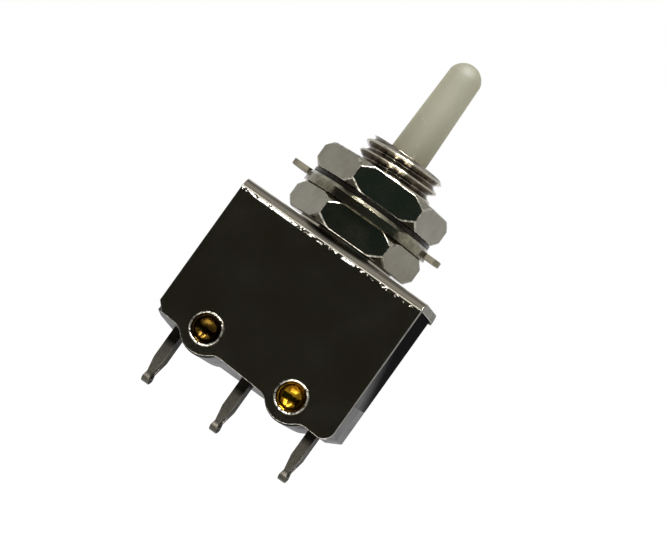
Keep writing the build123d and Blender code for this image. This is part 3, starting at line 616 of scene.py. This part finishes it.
# A sheet of points is rolled up into the sleeve: its first row lies inside, then its rows climb the
# outside, and its last two go inside and back down to the first.
THREAD_SUMS = [
    ("columns", "ADD", "Steps around", 1.0),
    ("rows", "ADD", "Steps along", 4.0),
    ("last row", "SUBTRACT", "rows", 1.0),
    ("turn", "ADD", "across sheet", 0.5),
    ("angle", "MULTIPLY", "turn", 2 * math.pi),
    ("share up sheet", "ADD", "up sheet", 0.5),
    ("row", "MULTIPLY", "share up sheet", "last row"),
    ("before last", "SUBTRACT", "rows", 1.5),
    ("closing", "GREATER_THAN", "row", "before last"),
    ("before last two", "SUBTRACT", "rows", 2.5),
    ("first", "LESS_THAN", "row", 0.5),
    ("last two", "GREATER_THAN", "row", "before last two"),
    ("inside", "MAXIMUM", "first", "last two"),
    ("outside row", "SUBTRACT", "row", 1.0),
    ("outside rows", "SUBTRACT", "rows", 4.0),
    ("climb", "DIVIDE", "outside row", "outside rows"),
    ("climb from 0", "MAXIMUM", "climb", 0.0),
    ("climb to 1", "MINIMUM", "climb from 0", 1.0),
    ("length", "SUBTRACT", "Top", "Bottom"),
    ("climbed", "MULTIPLY", "climb to 1", "length"),
    ("not closing", "SUBTRACT", 1.0, "closing"),
    ("risen", "MULTIPLY", "climbed", "not closing"),
    ("height", "ADD", "Bottom", "risen"),
    ("above crest", "SUBTRACT", "height", "Crest height"),
    ("pitches", "DIVIDE", "above crest", "Pitch"),
    ("pitches at turn", "SUBTRACT", "pitches", "turn"),
    ("phase", "FRACT", "pitches at turn"),
    ("twice phase", "MULTIPLY", "phase", 2.0),
    ("swing", "SUBTRACT", "twice phase", 1.0),
    ("wave", "ABSOLUTE", "swing"),
    ("depth", "SUBTRACT", "Crest radius", "Root radius"),
    ("relief", "MULTIPLY", "flank", "depth"),
    ("cut radius", "ADD", "Root radius", "relief"),
    ("below top", "SUBTRACT", "Top", "height"),
    ("end radius", "SUBTRACT", "Crest radius", "Chamfer"),
    ("chamfer radius", "ADD", "end radius", "below top"),
    ("outer radius", "MINIMUM", "cut radius", "chamfer radius"),
    ("inwards", "SUBTRACT", "Inner radius", "outer radius"),
    ("step", "MULTIPLY", "inwards", "inside"),
    ("radius", "ADD", "outer radius", "step"),
    ("cosine", "COSINE", "angle"),
    ("x", "MULTIPLY", "radius", "cosine"),
    ("sine", "SINE", "angle"),
    ("y", "MULTIPLY", "radius", "sine"),
    ("off centre", "ABSOLUTE", "y"),
    ("in keyway", "LESS_THAN", "off centre", "Keyway half width"),
    ("floor", "MULTIPLY", "Keyway floor", -1.0),
    ("under floor", "SUBTRACT", "floor", "x"),
    ("past floor", "MAXIMUM", "under floor", 0.0),
    ("pushed in", "MULTIPLY", "past floor", "in keyway"),
    ("keyed x", "ADD", "x", "pushed in"),
]
SPRING_SIZES = {"Coil radius": 1.6, "Wire radius": 0.17, "Bottom": 0.0, "Top": 6.0, "Across": 0.0}
# The first and last turns climb one wire each, so they close down flat, and the rest share what is left.
SPRING_SUMS = [
    ("steps", "MULTIPLY", "Turns", "Steps in a turn"),
    ("count", "ADD", "steps", 1.0),
    ("turned", "MULTIPLY", "share", "Turns"),
    ("angle", "MULTIPLY", "turned", 2 * math.pi),
    ("one turn", "DIVIDE", 1.0, "Turns"),
    ("two turns", "MULTIPLY", "one turn", 2.0),
    ("past first", "SUBTRACT", "share", "one turn"),
    ("free turns", "SUBTRACT", 1.0, "two turns"),
    ("climb", "DIVIDE", "past first", "free turns"),
    ("climb from 0", "MAXIMUM", "climb", 0.0),
    ("climb to 1", "MINIMUM", "climb from 0", 1.0),
    ("wire", "MULTIPLY", "Wire radius", 2.0),
    ("first climb", "DIVIDE", "share", "one turn"),
    ("first to 1", "MINIMUM", "first climb", 1.0),
    ("last start", "SUBTRACT", 1.0, "one turn"),
    ("past last start", "SUBTRACT", "share", "last start"),
    ("last climb", "DIVIDE", "past last start", "one turn"),
    ("last from 0", "MAXIMUM", "last climb", 0.0),
    ("length", "SUBTRACT", "Top", "Bottom"),
    ("three wires", "MULTIPLY", "wire", 3.0),
    ("free length", "SUBTRACT", "length", "three wires"),
    ("free climb", "MULTIPLY", "free length", "climb to 1"),
    ("both ends", "ADD", "first to 1", "last from 0"),
    ("end climb", "MULTIPLY", "both ends", "wire"),
    ("risen", "ADD", "free climb", "end climb"),
    ("start", "ADD", "Bottom", "Wire radius"),
    ("height", "ADD", "start", "risen"),
    ("cosine", "COSINE", "angle"),
    ("out", "MULTIPLY", "Coil radius", "cosine"),
    ("x", "ADD", "out", "Across"),
    ("sine", "SINE", "angle"),
    ("y", "MULTIPLY", "Coil radius", "sine"),
]


def start_tree(name, sizes, numbers):
    """A new tree with named inputs, their identifiers, and its sockets by name."""
    tree = bpy.data.node_groups.new(name, "GeometryNodeTree")
    tree.interface.new_socket("Geometry", in_out="OUTPUT", socket_type="NodeSocketGeometry")
    names = {}
    for key, size in sizes.items():
        socket = tree.interface.new_socket(key, in_out="INPUT", socket_type="NodeSocketFloat")
        socket.default_value = size * MM
        names[key] = socket.identifier
    for key, (kind, value) in numbers.items():
        socket = tree.interface.new_socket(key, in_out="INPUT", socket_type=kind)
        socket.default_value = value
        names[key] = socket.identifier
    finish = tree.interface.new_socket("Finish", in_out="INPUT", socket_type="NodeSocketMaterial")
    names["Finish"] = finish.identifier
    return tree, names, {socket.name: socket for socket in add(tree, "NodeGroupInput").outputs}


def end_tree(tree, geometry, finish):
    """Makes a tree's geometry real, gives it its finish and hands it out."""
    real = add(tree, "GeometryNodeRealizeInstances", {"Geometry": geometry}).outputs["Geometry"]
    dressed = add(tree, "GeometryNodeSetMaterial", {"Geometry": real, "Material": finish})
    add(tree, "NodeGroupOutput", {"Geometry": dressed.outputs["Geometry"]})


def thread_tree():
    """A closed sleeve with a right-hand thread round it, a chamfered end and a keyway along -X."""
    numbers = {"Steps around": ("NodeSocketInt", 256), "Steps along": ("NodeSocketInt", 64)}
    tree, names, known = start_tree("threaded_sleeve", THREAD_SIZES, numbers)
    position = add(tree, "GeometryNodeInputPosition").outputs["Position"]
    spot = add(tree, "ShaderNodeSeparateXYZ", {"Vector": position}).outputs
    inputs = {"From Min": 0.02, "From Max": 0.98}
    flank = add(tree, "ShaderNodeMapRange", inputs, interpolation_type="SMOOTHSTEP")
    known.update({"across sheet": spot["X"], "up sheet": spot["Y"], "flank": flank.outputs["Result"]})
    for name, operation, *terms in THREAD_SUMS:
        inputs = {place: known.get(term, term) for place, term in enumerate(terms)}
        known[name] = add(tree, "ShaderNodeMath", inputs, operation=operation).outputs["Value"]
    tree.links.new(known["wave"], flank.inputs["Value"])
    inputs = {"Size X": 1.0, "Size Y": 1.0, "Vertices X": known["columns"], "Vertices Y": known["rows"]}
    sheet = add(tree, "GeometryNodeMeshGrid", inputs).outputs["Mesh"]
    inputs = {"X": known["keyed x"], "Y": known["y"], "Z": known["height"]}
    point = add(tree, "ShaderNodeCombineXYZ", inputs).outputs["Vector"]
    moved = add(tree, "GeometryNodeSetPosition", {"Geometry": sheet, "Position": point}).outputs["Geometry"]
    merged = add(tree, "GeometryNodeMergeByDistance", {"Geometry": moved, "Distance": 0.0005 * MM})
    end_tree(tree, merged.outputs["Geometry"], known["Finish"])
    return tree, names


def spring_tree():
    """A compression spring between two levels, with its end turns closed down flat."""
    numbers = {"Turns": ("NodeSocketFloat", 8.0), "Steps in a turn": ("NodeSocketInt", 32)}
    tree, names, known = start_tree("compression_spring", SPRING_SIZES, numbers)
    known["share"] = add(tree, "GeometryNodeSplineParameter").outputs["Factor"]
    for name, operation, *terms in SPRING_SUMS:
        inputs = {place: known.get(term, term) for place, term in enumerate(terms)}
        known[name] = add(tree, "ShaderNodeMath", inputs, operation=operation).outputs["Value"]
    line = add(tree, "GeometryNodeMeshLine", {"Count": known["count"]}).outputs["Mesh"]
    curve = add(tree, "GeometryNodeMeshToCurve", {"Mesh": line}).outputs["Curve"]
    inputs = {"X": known["x"], "Y": known["y"], "Z": known["height"]}
    point = add(tree, "ShaderNodeCombineXYZ", inputs).outputs["Vector"]
    moved = add(tree, "GeometryNodeSetPosition", {"Geometry": curve, "Position": point}).outputs["Geometry"]
    inputs = {"Resolution": 12, "Radius": known["Wire radius"]}
    section = add(tree, "GeometryNodeCurvePrimitiveCircle", inputs).outputs["Curve"]
    inputs = {"Curve": moved, "Profile Curve": section, "Fill Caps": True}
    drawn = add(tree, "GeometryNodeCurveToMesh", inputs)
    end_tree(tree, drawn.outputs["Mesh"], known["Finish"])
    return tree, names


def grown(name, tree, names, values):
    """The plain mesh that a tree gives for the named values."""
    seed = put_in_scene(name, bpy.data.meshes.new(name + "_seed"))
    modifier = seed.modifiers.new("shape", "NODES")
    modifier.node_group = tree
    for key, value in values.items():
        modifier[names[key]] = value
    bpy.context.view_layer.update()
    mesh = bpy.data.meshes.new_from_object(seed.evaluated_get(bpy.context.evaluated_depsgraph_get()))
    seed.modifiers.remove(modifier)
    bpy.data.objects.remove(seed)
    shape = bmesh.new()
    shape.from_mesh(mesh)
    bmesh.ops.recalc_face_normals(shape, faces=shape.faces)
    shape.to_mesh(mesh)
    shape.free()
    mesh.name = name
    mesh.shade_smooth()
    return mesh


# Bushing: staked into the frame's top, with a collar on it, and turned down inside the nuts and washers.
STAKE_RADIUS = 3.5
STAKE_BOTTOM = -1.1
SHEET_BOTTOM = -0.65
SPIGOT_RADIUS = 2.85
COLLAR_RADIUS = 3.9
COLLAR_TOP = 0.25
BUSHING_EDGE = 0.05
ENGAGED_RADIUS = 2.92
ENGAGED_TOP = 5.6
SLEEVE_RADIUS = 2.6
SLEEVE_BOTTOM = 5.75
BUSHING_TOP = 7.8
BORE_RADIUS = 1.55
MOUTH_ROUND = 0.15
MOUTH_BOTTOM = 6.9
CHAMBER_RADIUS = 2.25


def make_bushing():
    """The bushing: a turned core, and over it the threaded sleeve with its keyway."""
    edge = BUSHING_EDGE
    core = [(CHAMBER_RADIUS, STAKE_BOTTOM), (STAKE_RADIUS - edge, STAKE_BOTTOM)]
    core += [(STAKE_RADIUS, STAKE_BOTTOM + edge), (STAKE_RADIUS, SHEET_BOTTOM)]
    core += [(SPIGOT_RADIUS, SHEET_BOTTOM), (SPIGOT_RADIUS, 0.0)]
    core += [(COLLAR_RADIUS - edge, 0.0), (COLLAR_RADIUS, edge)]
    core += [(COLLAR_RADIUS, COLLAR_TOP - edge), (COLLAR_RADIUS - edge, COLLAR_TOP)]
    core += [(ENGAGED_RADIUS, COLLAR_TOP), (ENGAGED_RADIUS, ENGAGED_TOP), (SLEEVE_RADIUS, SLEEVE_BOTTOM)]
    core += [(SLEEVE_RADIUS, BUSHING_TOP), (BORE_RADIUS + MOUTH_ROUND, BUSHING_TOP)]
    core += arc((BORE_RADIUS + MOUTH_ROUND, BUSHING_TOP - MOUTH_ROUND), MOUTH_ROUND, 90, 180, 5)
    core += [(BORE_RADIUS, MOUTH_BOTTOM), (CHAMBER_RADIUS, MOUTH_BOTTOM)]
    tree, names = thread_tree()
    parts = [turned("bushing_core", core, 128, ring=True)]
    parts.append(grown("bushing_thread", tree, names, {"Finish": THREAD_NICKEL}))
    shape = bmesh.new()
    for part in parts:
        shape.from_mesh(part)
        bpy.data.meshes.remove(part)
    mesh = bpy.data.meshes.new("bushing_threaded")
    shape.to_mesh(mesh)
    shape.free()
    mesh.shade_smooth()
    mesh.set_sharp_from_angle(angle=math.radians(38))
    slot = "nickel_plate_bushing"
    finish_piece("bushing_threaded", mesh, "switch_body", slot, [THREAD_NICKEL], "bushing")


# Springs: coil radius, wire radius, turns and place across, then the joint that presses the spring, the
# end that stays, and how far it is pressed, with lengths in mm.
SPRINGS = {
    "return_spring": (1.6, 0.17, 8.0, 0.0, "plunger_slide", "bottom", 2.2),
    "overtravel_spring": (1.5, 0.14, 4.0, 0.0, "plunger_slide", "bottom", 2.2),
    "bias_spring": (0.7, 0.11, 7.0, -2.9, "rocker_tilt", "top", 0.48),
}


def make_springs():
    """The three springs, each from the same tree."""
    tree, names = spring_tree()
    for node, (coil, wire, turns, across, joint, fixed, travel) in SPRINGS.items():
        low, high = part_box(node)
        values = {"Coil radius": coil * MM, "Wire radius": wire * MM, "Turns": turns, "Across": across * MM}
        values.update({"Bottom": low.z, "Top": high.z, "Finish": SPRING_WIRE})
        mesh = grown(node + "_wound", tree, names, values)
        piece = finish_piece(node + "_wound", mesh, "switch_body", "spring_steel", [SPRING_WIRE], node)
        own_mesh(piece)


eased("frame", "frame_folded", 0.1, 3, "nickel_plate_frame", FRAME_NICKEL, SHEARED_NICKEL, WORN_NICKEL)
eased("lower_nut", "lower_nut_hex", 0.1, 3, "nickel_plate_nut", NUT_NICKEL, edge=WORN_NICKEL)
eased("upper_nut", "upper_nut_hex", 0.1, 3, "nickel_plate_nut", NUT_NICKEL, edge=WORN_NICKEL)
eased("locking_ring", "locking_ring_stamped", 0.2, 4, "nickel_plate_ring", RING_NICKEL)
eased("lock_washer", "lock_washer_toothed", 0.03, 2, "steel_washer", WASHER_STEEL)
eased("housing", "housing_moulded", 0.12, 2, "black_phenolic", HOUSING_PHENOLIC)
eased("base", "base_moulded", 0.12, 2, "black_phenolic", BLACK_PHENOLIC)
for lug in ("terminal_nc", "terminal_common", "terminal_no"):
    eased(lug, lug + "_stamped", 0.05, 2, "silvered_brass", LUG_SILVER, SHEARED_SILVER)
make_plunger()
make_rivets()
make_bushing()
make_springs()

# Pieces inside the case, which keep their CAD meshes.
INNER_FINISHES = {
    "fixed_contact_nc": CONTACT_SILVER,
    "fixed_contact_no": CONTACT_SILVER,
    "moving_contacts": CONTACT_SILVER,
    "rocker": BRONZE,
    "spring_seat": PLAIN_STEEL,
    "pusher": IVORY_NYLON,
}
for inner_node, inner_finish in INNER_FINISHES.items():
    for material_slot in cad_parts[inner_node].material_slots:
        material_slot.material = inner_finish


# Camera, light and background. Angles are in degrees, and distances in metres but for the camera's.

CAMERA_PLACE = (38.173, -236.801, -8.563)
CAMERA_AZIMUTH = 8.993
CAMERA_ELEVATION = -1.498
CAMERA_ROLL = 35.589
CAMERA_LENS = 182.44
# Azimuth, elevation, distance, width, height, and the brightness of the lamp's face.
LAMPS = {
    "soft_key": (-40, 45, 0.5, 0.3, 0.3, 2.6),
    "soft_fill": (60, 25, 0.6, 0.3, 0.3, 1.5),
}
# Narrow lamps that only show in shiny surfaces: they dot edges with light and leave the rest as it was.
STRIPS = {
    "strip_left": (-25, 56, 0.28, 0.014, 0.26, 120.0),
    "strip_middle": (12, 56, 0.28, 0.012, 0.26, 120.0),
    "strip_right": (26, 58, 0.28, 0.034, 0.28, 20.0),
    "strip_low": (8, -50, 0.07, 0.05, 0.036, 8.0),
}
# How bright the pale room is to the object. To the camera and in reflections it is 1, which is white.
ROOM_LEVEL = 0.5
FLOOR_HEIGHT = -0.06
FLOOR_REACH = 4
FLOOR_LIFT = 0.62
CARD_DISTANCE = 0.3
CARD_AZIMUTHS = range(-64, 71, 6)
CARD_ELEVATIONS = (-38, 27)
# Where the card turns from warm to cool black, and where each of its ends turns pale.
CARD_COOLING = (-0.01, 0.05)
CARD_ENDS = (0.23, 0.28)


def set_camera():
    """The camera, a little to the right of the front plate and rolled so that the switch leans."""
    back = towards(CAMERA_AZIMUTH, CAMERA_ELEVATION)
    azimuth, roll = math.radians(CAMERA_AZIMUTH), math.radians(CAMERA_ROLL)
    level = Vector((math.cos(azimuth), math.sin(azimuth), 0))
    right = level * math.cos(roll) + back.cross(level) * math.sin(roll)
    up = back.cross(right)
    data = bpy.data.cameras.new("camera")
    data.lens, data.sensor_width = CAMERA_LENS, 36
    data.clip_start, data.clip_end = 0.01, 20
    camera = put_in_scene("camera", data)
    turn = Matrix((right, up, back)).transposed().to_4x4()
    camera.matrix_world = Matrix.Translation(Vector(CAMERA_PLACE) * MM) @ turn
    bpy.context.scene.camera = camera


def lamp(name, azimuth, elevation, distance, width, height, brightness):
    """An area lamp seen from the switch in a given direction, and facing it."""
    light = bpy.data.lights.new(name, "AREA")
    light.shape = "RECTANGLE"
    light.size, light.size_y = width, height
    light.energy = brightness * math.pi * width * height
    thing = put_in_scene(name, light)
    place = towards(azimuth, elevation) * distance
    turn = (-place).to_track_quat("-Z", "Y").to_matrix().to_4x4()
    thing.matrix_world = Matrix.Translation(place) @ turn
    thing.visible_camera = False
    return thing


def seen_share(tree):
    """1 for rays from the camera, off a shiny surface or through glass, and 0 for light on the object."""
    path = add(tree, "ShaderNodeLightPath").outputs
    inputs = {0: path["Is Glossy Ray"], 1: path["Is Transmission Ray"]}
    shiny = add(tree, "ShaderNodeMath", inputs, operation="MAXIMUM").outputs["Value"]
    inputs = {0: path["Is Camera Ray"], 1: shiny}
    return add(tree, "ShaderNodeMath", inputs, operation="MAXIMUM").outputs["Value"]


def set_world():
    """A pale room, white where it is seen."""
    world = bpy.data.worlds.new("pale_room")
    bpy.context.scene.world = world
    world.use_nodes = True
    tree = world.node_tree
    inputs = {"Value": seen_share(tree), "To Min": ROOM_LEVEL, "To Max": 1.0}
    level = add(tree, "ShaderNodeMapRange", inputs)
    tree.nodes["Background"].inputs["Color"].default_value = linear("FFFFFF")
    tree.links.new(level.outputs["Result"], tree.nodes["Background"].inputs["Strength"])


def set_floor():
    """A pale floor below the switch: matt, and lifted to white where it is seen, so its shadow stays."""
    material = bpy.data.materials.new("floor_matt_white")
    material.use_nodes = True
    tree = material.node_tree
    shader = tree.nodes["Principled BSDF"]
    shader.inputs["Base Color"].default_value = linear("F2F2F2")
    shader.inputs["Roughness"].default_value = 1.0
    shader.inputs["Specular IOR Level"].default_value = 0.0
    shader.inputs["Emission Color"].default_value = linear("FFFFFF")
    inputs = {0: seen_share(tree), 1: FLOOR_LIFT}
    glow = add(tree, "ShaderNodeMath", inputs, operation="MULTIPLY").outputs["Value"]
    tree.links.new(glow, shader.inputs["Emission Strength"])
    mesh = bpy.data.meshes.new("floor")
    sides = ((-1, -1), (1, -1), (1, 1), (-1, 1))
    corners = [(x * FLOOR_REACH, y * FLOOR_REACH, FLOOR_HEIGHT) for x, y in sides]
    mesh.from_pydata(corners, [], [(0, 1, 2, 3)])
    mesh.materials.append(material)
    floor = put_in_scene("floor", mesh)


def set_dark_card():
    """A curved dark card in front, seen only in shiny surfaces, which gives flat metal its depth.

    It goes from warm to cool black across the middle, and is pale at both ends.
    """
    material = bpy.data.materials.new("dark_card")
    material.use_nodes = True
    tree = material.node_tree
    place = add(tree, "ShaderNodeTexCoord").outputs["Object"]
    across = add(tree, "ShaderNodeSeparateXYZ", {"Vector": place}).outputs["X"]
    inputs = {"Value": across, "From Min": CARD_COOLING[0], "From Max": CARD_COOLING[1]}
    cooler = add(tree, "ShaderNodeMapRange", inputs)
    inputs = {"Factor": cooler.outputs["Result"], "A": linear("2A2922"), "B": linear("33443E")}
    blacks = add(tree, "ShaderNodeMix", inputs, data_type="RGBA").outputs["Result"]
    offside = add(tree, "ShaderNodeMath", {0: across}, operation="ABSOLUTE").outputs["Value"]
    inputs = {"Value": offside, "From Min": CARD_ENDS[0], "From Max": CARD_ENDS[1]}
    faded = add(tree, "ShaderNodeMapRange", inputs)
    inputs = {"Factor": faded.outputs["Result"], "A": blacks, "B": linear("8C8A80")}
    colours = add(tree, "ShaderNodeMix", inputs, data_type="RGBA").outputs["Result"]
    glow = add(tree, "ShaderNodeEmission", {"Color": colours, "Strength": 1.0})
    tree.links.new(glow.outputs["Emission"], tree.nodes["Material Output"].inputs["Surface"])
    corners = [towards(a, e) * CARD_DISTANCE for e in CARD_ELEVATIONS for a in CARD_AZIMUTHS]
    count = len(CARD_AZIMUTHS)
    mesh = bpy.data.meshes.new("dark_card")
    mesh.from_pydata(corners, [], [(n, n + 1, n + 1 + count, n + count) for n in range(count - 1)])
    mesh.materials.append(material)
    card = put_in_scene("dark_card", mesh)
    card.visible_camera = False
    card.visible_diffuse = False
    card.visible_transmission = False
    card.visible_shadow = False


set_camera()
set_world()
set_floor()
set_dark_card()
for lamp_name, lamp_sizes in LAMPS.items():
    lamp(lamp_name, *lamp_sizes)
for strip_name, strip_sizes in STRIPS.items():
    lamp(strip_name, *strip_sizes).visible_diffuse = False
bpy.context.scene.view_settings.view_transform = "Standard"
